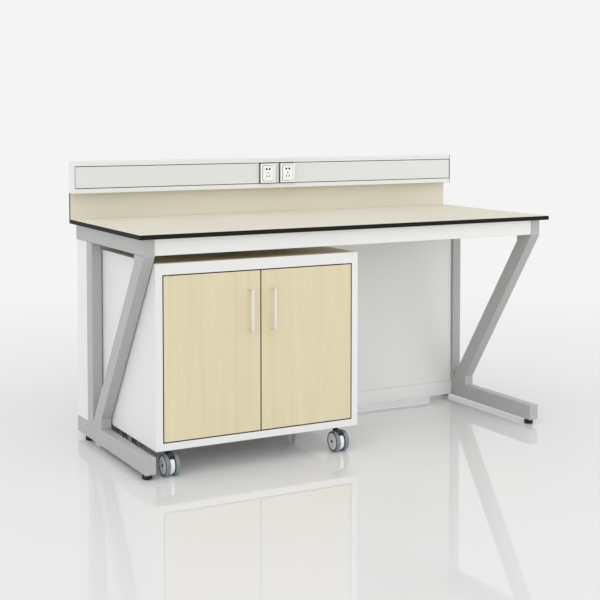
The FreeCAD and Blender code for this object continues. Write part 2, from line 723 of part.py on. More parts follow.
def build_carcass():
    """Cabinet boards, shelf, shelf pins, hinge pins and door catches."""
    pin_y = ("shelf_y + shelf_pin_inset", "inside_rear - shelf_gap - shelf_pin_inset")
    pin_z = "shelf_base - shelf_pin / 2"
    pins = []
    for side, sign in LEFT_RIGHT:
        start_x = "cabinet_left" if sign < 0 else "inside_right"
        board = box(f"{side}_side_board", (start_x, "cabinet_front", "cabinet_lift"),
                    ("side_thickness", "cabinet_depth", "cabinet_height"))
        pin_x = "inside_left - shelf_pin_in" if sign < 0 else "inside_right - shelf_pin_out"
        bore_x = "inside_left - shelf_pin_in" if sign < 0 else "inside_right"
        bores = []
        for index, y in enumerate(pin_y):
            pins.append(cylinder(f"{side}_shelf_pin_{index}", (pin_x, y, pin_z), "shelf_pin",
                                 "shelf_pin_in + shelf_pin_out", "x"))
            bores.append(cylinder(f"{side}_shelf_bore_{index}", (bore_x, y, pin_z), "shelf_pin",
                                  "shelf_pin_in", "x"))
        node(cut(f"cabinet_{side}_side", board, bores))
    node(group("shelf_pins", pins))
    node(box("cabinet_top", ("inside_left", "cabinet_front", "inside_ceiling"),
             ("inside_width", "cabinet_depth", "top_thickness")))
    rail = box("cabinet_rail_board", ("inside_left", "cabinet_front", "inside_ceiling - rail_height"),
               ("inside_width", "rail_depth", "rail_height"))
    floor = box("cabinet_floor_board", ("inside_left", "cabinet_front", "cabinet_lift"),
                ("inside_width", "cabinet_depth", "bottom_thickness"))
    pivots, floor_bores, rail_bores = [], [], []
    for side, level, x, z in pivot_places():
        pivots.append(cylinder(f"{side}_{level}_pin", (x, "pivot_y", z), "pivot_diameter", PIVOT_LENGTH))
        bores = floor_bores if level == "lower" else rail_bores
        bore_z = z if level == "lower" else "door_head + door_gap"
        bores.append(cylinder(f"{side}_{level}_pin_bore", (x, "pivot_y", bore_z), "pivot_diameter",
                              "pivot_in_board"))
    for name, x, y in caster_places():
        floor_bores.append(cylinder(f"{name}_stem_bore", (x, y, "cabinet_lift"),
                                    "stem_diameter + 2 * running_gap", "stem_grip"))
    node(cut("cabinet_top_rail", rail, rail_bores))
    node(cut("cabinet_bottom", floor, floor_bores))
    node(box("cabinet_back", ("inside_left", "inside_rear", "inside_floor"),
             ("inside_width", "back_thickness", "inside_ceiling - inside_floor")))
    node(box("cabinet_shelf", ("inside_left + shelf_gap", "shelf_y", "shelf_base"),
             ("inside_width - 2 * shelf_gap", "shelf_depth", "shelf_thickness")))
    node(group("hinge_pins", pivots))
    catches = []
    for side, sign in LEFT_RIGHT:
        catch_x = f"cabinet_middle + {sign} * catch_offset - catch_length / 2"
        catch_z = "inside_ceiling - rail_height - catch_height"
        catches.append(box(f"{side}_catch", (catch_x, "door_back + catch_gap", catch_z),
                           ("catch_length", "catch_depth", "catch_height")))
    node(group("door_catches", catches))


def build_doors():
    """Two inset doors on hinge pins, each with a bow handle."""
    for side, sign in LEFT_RIGHT:
        start_x = "inside_left + door_gap" if sign < 0 else "cabinet_middle + door_gap / 2"
        outline = rectangle(("0", "0"), ("door_width", "door_height"))
        board, pad = pad_body(f"{side}_door_board", "XZ_Plane", [outline], "door_thickness",
                              (start_x, "cabinet_front", "door_foot"), True)
        round_edges(board, pad, "door_rounding", on_face("Y", "Min"))
        pivot_x = f"cabinet_middle + {sign} * pivot_offset"
        bores = []
        for level, z in (("lower", "door_foot"), ("upper", "door_head - pivot_in_door")):
            bores.append(cylinder(f"{side}_{level}_door_bore", (pivot_x, "pivot_y", z),
                                  "pivot_diameter + 2 * running_gap", "pivot_in_door"))
        node(cut(f"{side}_door", board, bores))
        node(bow_handle(f"{side}_handle", f"cabinet_middle + {sign} * handle_offset - handle_width / 2"))


def bow_handle(name, start_x):
    """A flat bar bent to a bow, with both feet on the door."""
    outline = [
        ("0", "0"), ("0", "handle_length"),
        ("handle_reach", "handle_length"), ("handle_reach", "handle_length - handle_bar"),
        ("handle_bar", "handle_length - handle_bar"), ("handle_bar", "handle_bar"),
        ("handle_reach", "handle_bar"), ("handle_reach", "0"),
    ]
    corner = (start_x, "cabinet_front - handle_reach", "door_head - handle_drop - handle_length")
    body, pad = pad_body(name, "YZ_Plane", [outline], "handle_width", corner)
    front_corner = at_corner("X")
    reach = measure("handle_reach")

    def outer_bend(edge, bounds):
        return front_corner(edge, bounds) and edge.BoundBox.YMax < reach / 2
    round_edges(body, pad, "handle_bend", outer_bend)
    return body


def caster_wheel(name, sign, corner):
    """One wheel of a pair, turned about the axle, with a dished cap on its outer side."""
    inner = f"{sign} * (hood_width / 2 + wheel_gap)"
    outer = f"{sign} * (hood_width / 2 + wheel_gap + wheel_width)"
    outline = [
        (inner, "axle_diameter / 2"),
        (inner, "wheel_radius - wheel_shoulder / 2"),
        (f"{inner} + {sign} * wheel_shoulder / 2", "wheel_radius"),
        (f"{outer} - {sign} * wheel_shoulder", "wheel_radius"),
        (outer, "wheel_radius - wheel_shoulder"),
        (outer, "wheel_rim"),
        (f"{outer} - {sign} * wheel_dish", "wheel_rim - wheel_dish"),
        (f"{outer} - {sign} * wheel_dish", "axle_diameter / 2"),
    ]
    return turned(name, "XZ_Plane", outline, "H_Axis", corner)


def caster_stem(name, x, y):
    """Pin, collar and yoke, joined about the pin's own axis and then put in place."""
    yoke = box(f"{name}_yoke_block",
               ("-hood_width / 2", "-caster_trail - yoke_front", "hood_top - yoke_drop"),
               ("hood_width", "yoke_front + caster_trail + collar_diameter / 2", "yoke_drop + yoke_rise"))
    collar = cylinder(f"{name}_collar", (0, 0, "collar_base"), "collar_diameter", "collar_height")
    pin = cylinder(f"{name}_stem_pin", (0, 0, "collar_base"), "stem_diameter", "stem_top - collar_base")
    body = fuse(f"{name}_yoke_body", [yoke, collar, pin])
    room = cylinder(f"{name}_yoke_room", ("-hood_width", "-caster_trail", "wheel_radius"),
                    "hood_diameter + 2 * yoke_gap", "2 * hood_width", "x")
    stem = cut(f"{name}_caster_stem", body, [room])
    place(stem, (x, y, 0))
    return stem


def build_casters():
    """Four twin-wheel casters: stem and yoke, hood, and wheels on their axle."""
    half_hood = "hood_width / 2"
    axle_reach = "hood_width / 2 + wheel_gap + wheel_width - wheel_dish"
    for name, x, y in caster_places():
        axle_y = f"{y} - caster_trail"
        node(caster_stem(name, x, y))
        disc = cylinder(f"{name}_hood_disc", (f"{x} - {half_hood}", axle_y, "wheel_radius"),
                        "hood_diameter", "hood_width", "x")
        bore = cylinder(f"{name}_hood_bore", (f"{x} - {half_hood}", axle_y, "wheel_radius"),
                        "axle_diameter + 2 * running_gap", "hood_width", "x")
        node(cut(f"{name}_caster_hood", disc, [bore]))
        axle = cylinder(f"{name}_axle", (f"{x} - ({axle_reach})", axle_y, "wheel_radius"),
                        "axle_diameter", f"2 * ({axle_reach})", "x")
        wheels = [caster_wheel(f"{name}_{side}_wheel", sign, (x, axle_y, "wheel_radius"))
                  for side, sign in LEFT_RIGHT]
        node(group(f"{name}_caster_wheels", wheels + [axle]))


def check_model():
    """Stop on a failed feature, an empty shape or an invalid shape."""
    for item in doc.Objects:
        if {"Invalid", "Error"} & set(item.State):
            raise RuntimeError(f"{item.Name} did not build: {item.State}")
    for item in nodes:
        if item.Shape.isNull() or not item.Shape.isValid() or not item.Shape.Solids:
            raise RuntimeError(f"{item.Label} has no valid solid")


def write_parts():
    os.makedirs("parts", exist_ok=True)
    for item in nodes:
        item.Shape.exportStep(os.path.join("parts", item.Label + ".step"))


build_worktop()
build_frames()
build_feet()
build_beams()
build_trunking()
build_sockets()
build_carcass()
build_doors()
build_casters()
doc.recompute()
check_model()
write_parts()
for item in nodes:
    print(item.Label, len(item.Shape.Solids), round(item.Shape.Volume / 1000, 1), "cm3")
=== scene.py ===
"""Laboratory workbench with a mobile cabinet: finishes, casters, feet, handles, sockets and studio.

Metres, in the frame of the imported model: +X right, +Y back, +Z up, floor at z = 0.
"""
import math

import bmesh
import bpy
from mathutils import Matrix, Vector


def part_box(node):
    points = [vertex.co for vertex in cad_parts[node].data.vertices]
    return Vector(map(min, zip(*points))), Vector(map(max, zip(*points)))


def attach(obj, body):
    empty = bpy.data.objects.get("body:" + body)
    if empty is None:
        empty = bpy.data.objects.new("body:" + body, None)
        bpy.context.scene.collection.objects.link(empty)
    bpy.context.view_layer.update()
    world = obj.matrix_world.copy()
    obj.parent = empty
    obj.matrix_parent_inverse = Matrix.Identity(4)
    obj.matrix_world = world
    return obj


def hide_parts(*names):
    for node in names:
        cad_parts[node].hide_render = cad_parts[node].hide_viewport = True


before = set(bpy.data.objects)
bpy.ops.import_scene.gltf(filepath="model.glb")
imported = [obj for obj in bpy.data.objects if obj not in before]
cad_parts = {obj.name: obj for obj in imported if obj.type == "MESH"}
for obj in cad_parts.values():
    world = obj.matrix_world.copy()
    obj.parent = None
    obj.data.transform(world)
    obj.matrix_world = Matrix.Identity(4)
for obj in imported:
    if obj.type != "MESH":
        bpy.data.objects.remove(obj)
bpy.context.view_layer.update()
scene = bpy.context.scene

CASTERS = ("front_left", "front_right", "rear_left", "rear_right")
SIDES = ("left", "right")
FEET = ("front_left_foot", "rear_left_foot", "front_right_foot", "rear_right_foot")


# Material nodes

# Sockets of the mix node that hold its factor, its two colours and its result
MIX_FACTOR, MIX_FIRST, MIX_SECOND, MIX_RESULT = 0, 6, 7, 2


def feed(tree, socket, value):
    """Link a socket, or set a plain value."""
    if isinstance(value, bpy.types.NodeSocket):
        tree.links.new(value, socket)
    else:
        socket.default_value = value


def add(tree, kind, **inputs):
    """A shader node with its named inputs set or linked."""
    node = tree.nodes.new("ShaderNode" + kind)
    for name, value in inputs.items():
        feed(tree, node.inputs[name.replace("_", " ")], value)
    return node


def new_material(name):
    """A material with its tree, its main shader and object coordinates."""
    material = bpy.data.materials.new(name)
    material.use_nodes = True
    tree = material.node_tree
    shader = tree.nodes["Principled BSDF"]
    coords = add(tree, "TexCoord")
    return material, tree, shader, coords


def rgba(colour, gain=1.0):
    """An opaque colour, made lighter or darker by a gain."""
    return tuple(channel * gain for channel in colour) + (1.0,)


def blend(tree, factor, first, second):
    """A colour between two others."""
    node = tree.nodes.new("ShaderNodeMix")
    node.data_type = "RGBA"
    for index, value in ((MIX_FACTOR, factor), (MIX_FIRST, first), (MIX_SECOND, second)):
        feed(tree, node.inputs[index], value)
    return node.outputs[MIX_RESULT]


def noise(tree, vector, scale, detail=2.0, distortion=0.0):
    """A cloudy value; the scale is in cycles per metre."""
    node = add(tree, "TexNoise", Vector=vector, Scale=scale, Detail=detail, Distortion=distortion)
    return node.outputs["Fac"]


def remap(tree, value, low, high, start=0.3, end=0.7):
    """Spread a value from start..end, where most of a noise lies, to low..high."""
    node = add(tree, "MapRange", Value=value, From_Min=start, From_Max=end,
               To_Min=low, To_Max=high)
    return node.outputs["Result"]


def stretch(tree, vector, scale):
    """Coordinates scaled along each axis."""
    return add(tree, "Mapping", Vector=vector, Scale=scale).outputs["Vector"]


def drawn_out(across, along, axis):
    """Texture scale that differs along one axis from the other two."""
    scale = [across, across, across]
    scale["XYZ".index(axis)] = along
    return scale


def relief(tree, shader, height, strength, distance):
    """Bump from a value between 0 and 1; the distance is in metres."""
    bump = add(tree, "Bump", Height=height, Strength=strength, Distance=distance)
    tree.links.new(bump.outputs["Normal"], shader.inputs["Normal"])


def facing(tree, coords, axis, limit):
    """1 on surfaces that face along an axis, either way, and 0 elsewhere."""
    parts = add(tree, "SeparateXYZ", Vector=coords.outputs["Normal"])
    size = tree.nodes.new("ShaderNodeMath")
    size.operation = "ABSOLUTE"
    tree.links.new(parts.outputs[axis], size.inputs[0])
    return mask(tree, size.outputs[0], "GREATER_THAN", limit)


def mask(tree, value, kind, limit, width=None):
    """1 where a value passes a test, else 0; COMPARE passes within a width of the limit."""
    test = tree.nodes.new("ShaderNodeMath")
    test.operation = kind
    tree.links.new(value, test.inputs[0])
    test.inputs[1].default_value = limit
    if width is not None:
        test.inputs[2].default_value = width
    return test.outputs[0]


def both(tree, first, second):
    """The product of two masks."""
    node = tree.nodes.new("ShaderNodeMath")
    node.operation = "MULTIPLY"
    tree.links.new(first, node.inputs[0])
    tree.links.new(second, node.inputs[1])
    return node.outputs[0]


def inside(tree, coords, centre, half):
    """1 within a box, else 0."""
    parts = add(tree, "SeparateXYZ", Vector=coords.outputs["Object"])
    found = mask(tree, parts.outputs["X"], "COMPARE", centre.x, half.x)
    for axis, at, reach in (("Y", centre.y, half.y), ("Z", centre.z, half.z)):
        found = both(tree, found, mask(tree, parts.outputs[axis], "COMPARE", at, reach))
    return found


# Least part of the normal along an axis where a surface counts as facing it
COVER_FACE = 0.6
LAMINATE_FACE = 0.95
MAPLE_FACE = 0.985

CLOUD_SCALE = 3.5
SPECK_SHARE = 0.35
DARK_VARIATION = 0.2
GLOSSIER, DULLER = 0.06, 0.08
COAT_RELIEF = 0.0004


def mottled(tree, fine, dark):
    """A dark colour with a strong, fine variation."""
    deep = rgba(dark, 1.0 - DARK_VARIATION)
    light = rgba(dark, 1.0 + DARK_VARIATION)
    return blend(tree, remap(tree, fine, 0.0, 1.0), deep, light)


def coated(name, colour, roughness, drift=0.03, pore=700.0, depth=0.06, streak=(1.0, 1.0, 1.0),
           edge=None, painted_shade=None):
    """A satin surface: soft drift of tone, fine texture in gloss and relief.

    edge: colour of surfaces that don't face along Y, used dark as painted shade. The box argument:
    a recess whose colour is painted shade.
    """
    material, tree, shader, coords = new_material(name)
    vector = stretch(tree, coords.outputs["Object"], streak)
    cloud = remap(tree, noise(tree, vector, CLOUD_SCALE, 3.0), 0.0, 1.0)
    fine = noise(tree, vector, pore)
    tone = blend(tree, cloud, rgba(colour, 1.0 - drift), rgba(colour, 1.0 + drift))
    specks = remap(tree, fine, 0.0, SPECK_SHARE)
    surface = blend(tree, specks, tone, rgba(colour, 1.0 - 2.0 * drift))
    # Surfaces not facing along Y take the edge colour, which the callers use as painted shade.
    if edge:
        front = facing(tree, coords, "Y", COVER_FACE)
        surface = blend(tree, front, mottled(tree, fine, edge), surface)
    # Inside the box the surface colour gives way to painted shade.
    if painted_shade:
        centre, half, dark = painted_shade
        within = inside(tree, coords, centre, half)
        surface = blend(tree, within, surface, mottled(tree, fine, dark))
    gloss = remap(tree, fine, roughness - GLOSSIER, roughness + DULLER)
    tree.links.new(surface, shader.inputs["Base Color"])
    tree.links.new(gloss, shader.inputs["Roughness"])
    relief(tree, shader, fine, depth, COAT_RELIEF)
    return material


DECOR_CREAM = (0.75, 0.715, 0.605)
DECOR_PALE = (0.78, 0.75, 0.645)
DECOR_SPECK = (0.68, 0.63, 0.5)
CORE_FACE = (0.006, 0.006, 0.0055, 1.0)
# Lighter middle of the black core: a painted highlight, the sheen along a bevelled edge.
CORE_MIDDLE_HIGHLIGHT = (0.022, 0.022, 0.02, 1.0)
CORE_LAYER = (0.012, 0.011, 0.01, 1.0)


def laminate(name, node, axis, gain=1.0):
    """Cream decor on the two faces; at the edges a black core with fine layers and a lighter middle
    line, a painted highlight.
    """
    material, tree, shader, coords = new_material(name)
    place = coords.outputs["Object"]
    low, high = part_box(node)
    index = "XYZ".index(axis)
    grain = noise(tree, place, 900.0, 3.0)
    cloud = remap(tree, noise(tree, place, 2.2, 3.0), 0.0, 1.0)
    ground = blend(tree, cloud, rgba(DECOR_CREAM, gain), rgba(DECOR_PALE, gain))
    decor = blend(tree, remap(tree, grain, 0.0, 0.25), ground, rgba(DECOR_SPECK, gain))
    across = add(tree, "SeparateXYZ", Vector=place).outputs[axis]
    level = remap(tree, across, 0.0, 1.0, low[index], high[index])
    band = add(tree, "ValToRGB", Fac=level)
    stops = band.color_ramp.elements
    stops[0].color = CORE_FACE
    stops[1].color = CORE_FACE
    centre = stops.new(0.5)
    centre.color = CORE_MIDDLE_HIGHLIGHT
    layer = noise(tree, stretch(tree, place, drawn_out(6.0, 1400.0, axis)), 1.0)
    core = blend(tree, remap(tree, layer, 0.0, 0.5), band.outputs["Color"], CORE_LAYER)
    face = facing(tree, coords, axis, LAMINATE_FACE)
    tree.links.new(blend(tree, face, core, decor), shader.inputs["Base Color"])
    tree.links.new(remap(tree, grain, 0.44, 0.56), shader.inputs["Roughness"])
    shader.inputs["Specular IOR Level"].default_value = 0.06
    relief(tree, shader, grain, 0.05, 0.0003)
    return material


MAPLE_WARM = (0.735, 0.66, 0.44, 1.0)
MAPLE_PALE = (0.79, 0.725, 0.52, 1.0)
MAPLE_STREAK = (0.7, 0.61, 0.39, 1.0)
MAPLE_PORE = (0.66, 0.56, 0.35, 1.0)


def maple(name, axis, grain, edge):
    """Pale maple on the two faces across an axis, grained along another axis, with plain edges."""
    material, tree, shader, coords = new_material(name)
    place = coords.outputs["Object"]
    figure = noise(tree, stretch(tree, place, drawn_out(9.0, 0.9, grain)), 1.6, 4.0, 1.2)
    streaks = noise(tree, stretch(tree, place, drawn_out(60.0, 1.1, grain)), 1.0, 4.0)
    pores = noise(tree, stretch(tree, place, drawn_out(900.0, 18.0, grain)), 1.0)
    ground = blend(tree, remap(tree, figure, 0.0, 1.0), MAPLE_WARM, MAPLE_PALE)
    grained = blend(tree, remap(tree, streaks, 0.0, 0.5), ground, MAPLE_STREAK)
    veined = blend(tree, remap(tree, pores, 0.0, 0.25), grained, MAPLE_PORE)
    face = facing(tree, coords, axis, MAPLE_FACE)
    band = blend(tree, remap(tree, pores, 0.0, 1.0), rgba(edge, 0.98), rgba(edge, 1.02))
    tree.links.new(blend(tree, face, band, veined), shader.inputs["Base Color"])
    tree.links.new(remap(tree, streaks, 0.36, 0.48), shader.inputs["Roughness"])
    relief(tree, shader, pores, 0.05, 0.0003)
    return material


def brushed(name, colour, along, roughness):
    """Satin metal with fine lines along one direction."""
    material, tree, shader, coords = new_material(name)
    place = stretch(tree, coords.outputs["Object"], drawn_out(2600.0, 12.0, along))
    lines = noise(tree, place, 1.0, 3.0)
    tone = blend(tree, remap(tree, lines, 0.0, 1.0), rgba(colour, 0.9), rgba(colour, 1.05))
    gloss = remap(tree, lines, roughness - 0.05, roughness + 0.08)
    tree.links.new(tone, shader.inputs["Base Color"])
    tree.links.new(gloss, shader.inputs["Roughness"])
    shader.inputs["Metallic"].default_value = 1.0
    relief(tree, shader, lines, 0.03, 0.0002)
    return material


def middle(node):
    """Middle and size of a node's box."""
    low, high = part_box(node)
    return (low + high) / 2.0, high - low


def painted_shade_box(centre, half, colour):
    """Painted shade in a finish: the middle and the half size of its box, and its colour."""
    return Vector(centre), Vector(half), colour


# Painted shade, dark boxes in the finishes: behind the trunking covers, beside the right end cap
# and round the doors.
# The skin is the trunking's back, which stays white.

TRUNK_CENTRE, TRUNK_SIZE = middle("trunking_body")
COVER_SIZE = middle("middle_trunking_cover")[1]
TRUNK_SKIN = Vector((0.0, 0.001, 0.0))
SEAM_REACH = 0.0031
# Painted shade: the trunking's faces behind the covers and in the seams are painted near black.
SHADE_BEHIND_COVERS = painted_shade_box(
    TRUNK_CENTRE - TRUNK_SKIN,
    (TRUNK_SIZE.x, TRUNK_SIZE.y / 2.0, COVER_SIZE.z / 2.0 + SEAM_REACH),
    (0.03, 0.03, 0.03))
CAPS_CENTRE, CAPS_SIZE = middle("trunking_end_caps")
CAP_SHADE_INSET = 0.0022
CAP_SHADE_HALF = 0.0018
# Painted shade: a dark band on the right end cap, for the shade in its seam.
CAP_SEAM_SHADE = painted_shade_box(
    CAPS_CENTRE + Vector((CAPS_SIZE.x / 2.0 - CAP_SHADE_INSET, 0.0, 0.0)),
    (CAP_SHADE_HALF, CAPS_SIZE.y, CAPS_SIZE.z),
    (0.07, 0.07, 0.072))
DOOR_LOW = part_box("left_door")[0]
DOOR_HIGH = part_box("right_door")[1]
REVEAL_REACH = Vector((0.0035, 0.0005, 0.0035))
# Painted shade: the carcass faces round the doors are painted dark brown, for the shade in the
# reveals.
DOOR_REVEAL_SHADE = painted_shade_box(
    (DOOR_LOW + DOOR_HIGH) / 2.0,
    (DOOR_HIGH - DOOR_LOW) / 2.0 + REVEAL_REACH,
    (0.05, 0.034, 0.02))


# Finishes

EXTRUDED = (0.02, 1.0, 1.0)
BOARD_WHITE = (0.82, 0.82, 0.815)
GREY_COAT = coated("grey_powder_coat", (0.46, 0.465, 0.46), 0.42, drift=0.02, depth=0.12)
WHITE_COAT = coated("white_powder_coat", (0.84, 0.845, 0.835), 0.4, drift=0.012, depth=0.1)
# White extrusion, with painted shade on its faces behind the covers.
TRUNKING = coated("white_extrusion", (0.785, 0.787, 0.775), 0.36, drift=0.012, pore=500.0,
                  depth=0.04, streak=EXTRUDED, painted_shade=SHADE_BEHIND_COVERS)
# White end caps, with a band of painted shade near the right end.
END_CAP = coated("white_end_cap", (0.84, 0.845, 0.84), 0.36, drift=0.012, pore=500.0, depth=0.05,
                 painted_shade=CAP_SEAM_SHADE)
# Cover sides dark grey: painted shade in the seams round the covers.
COVER = coated("white_cover", (0.74, 0.747, 0.737), 0.36, drift=0.012, pore=500.0,
               depth=0.04, streak=EXTRUDED, edge=(0.1, 0.1, 0.1))
# Plate sides dark grey: painted shade beside the raised socket plates.
PLATE = coated("white_moulding", (0.9, 0.9, 0.89), 0.2, drift=0.008, pore=300.0, depth=0.02,
               edge=(0.2, 0.2, 0.195))
# Slot walls near black: painted shade deep in the socket slots.
INSERT = coated("white_insert", (0.9, 0.9, 0.89), 0.2, drift=0.008, pore=300.0, depth=0.02,
                edge=(0.012, 0.012, 0.012))
# White board, with painted shade round the door openings.
BOARD = coated("white_board", BOARD_WHITE, 0.38, drift=0.01, pore=420.0, depth=0.05,
               painted_shade=DOOR_REVEAL_SHADE)
# Door edges dark brown: an edge band, made this dark to also stand for the shade in the reveals.
MAPLE = maple("pale_maple", "Y", "Z", (0.075, 0.05, 0.028))
MAPLE_TOP = maple("pale_maple_top", "Z", "X", BOARD_WHITE)
SILVER = brushed("satin_silver", (0.94, 0.92, 0.91), "Z", 0.3)
ZINC = brushed("zinc_plate", (0.62, 0.63, 0.65), "X", 0.32)
# Brass darkened far below its own tone: painted shade deep in the socket slots.
SHADED_BRASS = brushed("contact_brass", (0.16, 0.12, 0.06), "Y", 0.34)
BLACK = coated("black_moulding", (0.01, 0.01, 0.0105), 0.5, drift=0.1, pore=500.0, depth=0.1)
DARK_METAL = coated("dark_caster_metal", (0.035, 0.048, 0.052), 0.4, drift=0.06, depth=0.08)
TREAD = coated("caster_tread", (0.215, 0.262, 0.28), 0.22, drift=0.06, pore=350.0, depth=0.06)
RIM = coated("caster_rim", (0.028, 0.038, 0.042), 0.32, drift=0.08, pore=350.0, depth=0.06)
CAP = coated("caster_cap", (0.68, 0.69, 0.7), 0.34, drift=0.03, pore=500.0, depth=0.05)
HOOD = coated("caster_hood", (0.86, 0.88, 0.9), 0.24, drift=0.01, pore=400.0, depth=0.03)
# Socket boxes near black: painted shade behind the slots.
SOCKET_BOX_SHADE = coated("socket_box_shade", (0.02, 0.02, 0.02), 0.5, drift=0.05)


def paint(material, *names):
    """Give CAD nodes a finish."""
    for name in names:
        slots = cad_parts[name].data.materials
        slots.clear()
        slots.append(material)


paint(laminate("worktop_laminate", "worktop", "Z"), "worktop")
# The backsplash's decor is darkened by 0.92: painted shade below the trunking.
paint(laminate("splash_laminate", "backsplash", "Y", 0.92), "backsplash")
for side in SIDES:
    paint(GREY_COAT, f"{side}_top_rail", f"{side}_foot_rail", f"{side}_upright", f"{side}_brace")
    paint(WHITE_COAT, f"{side}_end_cover")
    paint(BOARD, f"cabinet_{side}_side")
    paint(MAPLE, f"{side}_door")
    paint(COVER, f"{side}_trunking_cover")
paint(GREY_COAT, "rail_end_plates")
paint(WHITE_COAT, "front_apron", "rear_top_beam", "lower_rear_beam", "back_panel")
paint(TRUNKING, "trunking_body")
paint(COVER, "middle_trunking_cover")
paint(END_CAP, "trunking_end_caps")
paint(MAPLE_TOP, "cabinet_top")
paint(BOARD, "cabinet_top_rail", "cabinet_bottom", "cabinet_back", "cabinet_shelf")
paint(ZINC, "worktop_brackets", "worktop_screws", "foot_nuts", "shelf_pins", "hinge_pins")
paint(SHADED_BRASS, "socket_contacts")
paint(SOCKET_BOX_SHADE, "socket_boxes")
paint(BLACK, "door_catches")
for caster in CASTERS:
    paint(DARK_METAL, f"{caster}_caster_stem")


# Mesh pieces

SEGMENTS = 72
WELD_REACH = 1e-6
# Edges are sharp above these angles, in degrees
TURNED_SHARP = 32.0
HANDLE_SHARP = 50.0
SOCKET_SHARP = 40.0


class Shape:
    """Vertices, faces and material numbers of one piece."""

    def __init__(self):
        self.verts = []
        self.faces = []
        self.paints = []

    def rings(self, rings, paints, closed=False):
        """Join rings of equal length by quads; each span has its own material number."""
        start = len(self.verts)
        count = len(rings[0])
        for ring in rings:
            self.verts.extend(ring)
        spans = len(rings) if closed else len(rings) - 1
        for span in range(spans):
            near = start + span * count
            far = start + (span + 1) % len(rings) * count
            for index in range(count):
                after = (index + 1) % count
                self.faces.append((near + index, near + after, far + after, far + index))
                self.paints.append(paints[span])

    def cap(self, ring, number):
        """Close a ring with one face."""
        start = len(self.verts)
        self.verts.extend(ring)
        self.faces.append(tuple(range(start, start + len(ring))))
        self.paints.append(number)


def make_piece(name, shape, body, materials, nodes, angle=TURNED_SHARP):
    """A piece from a shape, with its materials."""
    mesh = bpy.data.meshes.new(name)
    mesh.from_pydata(shape.verts, [], shape.faces)
    for material in materials:
        mesh.materials.append(material)
    mesh.polygons.foreach_set("material_index", shape.paints)
    seat_piece(name, mesh, body, nodes, angle)


def weld(mesh):
    """Join points that meet and turn the faces outward."""
    edit = bmesh.new()
    edit.from_mesh(mesh)
    bmesh.ops.remove_doubles(edit, verts=edit.verts, dist=WELD_REACH)
    bmesh.ops.recalc_face_normals(edit, faces=edit.faces)
    edit.to_mesh(mesh)
    edit.free()


def seat_piece(name, mesh, body, nodes, angle):
    """A mesh object on a body, in the place of its nodes, smooth except at sharp edges."""
    weld(mesh)
    mesh.polygons.foreach_set("use_smooth", [True] * len(mesh.polygons))
    mesh.set_sharp_from_angle(angle=math.radians(angle))
    piece = bpy.data.objects.new(name, mesh)
    scene.collection.objects.link(piece)
    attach(piece, body)
    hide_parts(*nodes)


def circle(radius, place):
    """Points on a circle, put into the frame by a function of the two in-plane coordinates."""
    turns = [2.0 * math.pi * step / SEGMENTS for step in range(SEGMENTS)]
    return [place(radius * math.cos(turn), radius * math.sin(turn)) for turn in turns]


def turn_x(shape, profile, paints, centre, flip=1.0, closed=False):
    """Turn (along, radius) points round an axis along X."""
    rings = []
    for along, radius in profile:
        x = centre.x + flip * along
        rings.append(circle(radius, lambda a, b: (x, centre.y + a, centre.z + b)))
    shape.rings(rings, paints, closed)


def turn_z(shape, profile, paints, centre):
    """Turn (height, radius) points round an upright axis."""
    rings = []
    for height, radius in profile:
        z = centre.z + height
        rings.append(circle(radius, lambda a, b: (centre.x + a, centre.y + b, z)))
    shape.rings(rings, paints)


# Caster wheels and hoods

TREAD_PAINT, RIM_PAINT, CAP_PAINT, HUB_PAINT = range(4)
HOOD_PAINT, DARK_PAINT = range(2)
AXLE_RADIUS = 0.004
HUB_RADIUS = 0.006
HUB_DEPTH = 0.006
BORE_RADIUS = 0.005
WHEEL_GAP = 0.001
HOOD_TRIM = 0.0016
RIB_HALF, RIB_FOOT = 0.36, 0.45
# Ends of the hood's dark upper part, in degrees round the axle, up from the front
DARK_START = 43.0
DARK_END = 160.0


def wheel_profile(radius, inner, outer):
    """Half of a wheel pair, from the middle of the axle to the hub hole, as (along, radius)."""
    axle = [(0.0, AXLE_RADIUS), (inner, AXLE_RADIUS)]
    rim = [(inner, radius - 0.0036)]
    tread = [
        (inner + 0.0006, radius - 0.0022), (inner + 0.0016, radius - 0.0010),
        (inner + 0.0028, radius - 0.0002), (inner + 0.0060, radius), (outer - 0.0085, radius),
        (outer - 0.0080, radius - 0.0005), (outer - 0.0072, radius - 0.0005),
        (outer - 0.0067, radius - 0.0001), (outer - 0.0040, radius - 0.0006),
        (outer - 0.0020, radius - 0.0020),
    ]
    lip = [
        (outer - 0.0007, radius - 0.0040), (outer - 0.0002, radius - 0.0058),
        (outer - 0.0010, radius - 0.0066), (outer - 0.0018, radius - 0.0070),
    ]
    cap = [
        (outer - 0.0014, radius - 0.0080), (outer - 0.0006, radius - 0.0106),
        (outer - 0.0002, radius - 0.0165), (outer, radius - 0.0215),
        (outer - 0.0009, radius - 0.0224), (outer - 0.0009, radius - 0.0236),
        (outer, radius - 0.0245), (outer, radius - 0.0295),
        (outer - 0.0005, radius - 0.0308), (outer - 0.0005, HUB_RADIUS),
    ]
    hub = [(outer - HUB_DEPTH, HUB_RADIUS - 0.0004), (outer - HUB_DEPTH, 0.0)]
    points = []
    paints = []
    for rows, number in (
        (axle, HUB_PAINT), (rim, RIM_PAINT), (tread, TREAD_PAINT),
        (lip, RIM_PAINT), (cap, CAP_PAINT), (hub, HUB_PAINT),
    ):
        points.extend(rows)
        paints.extend([number] * len(rows))
    return points, paints[1:]


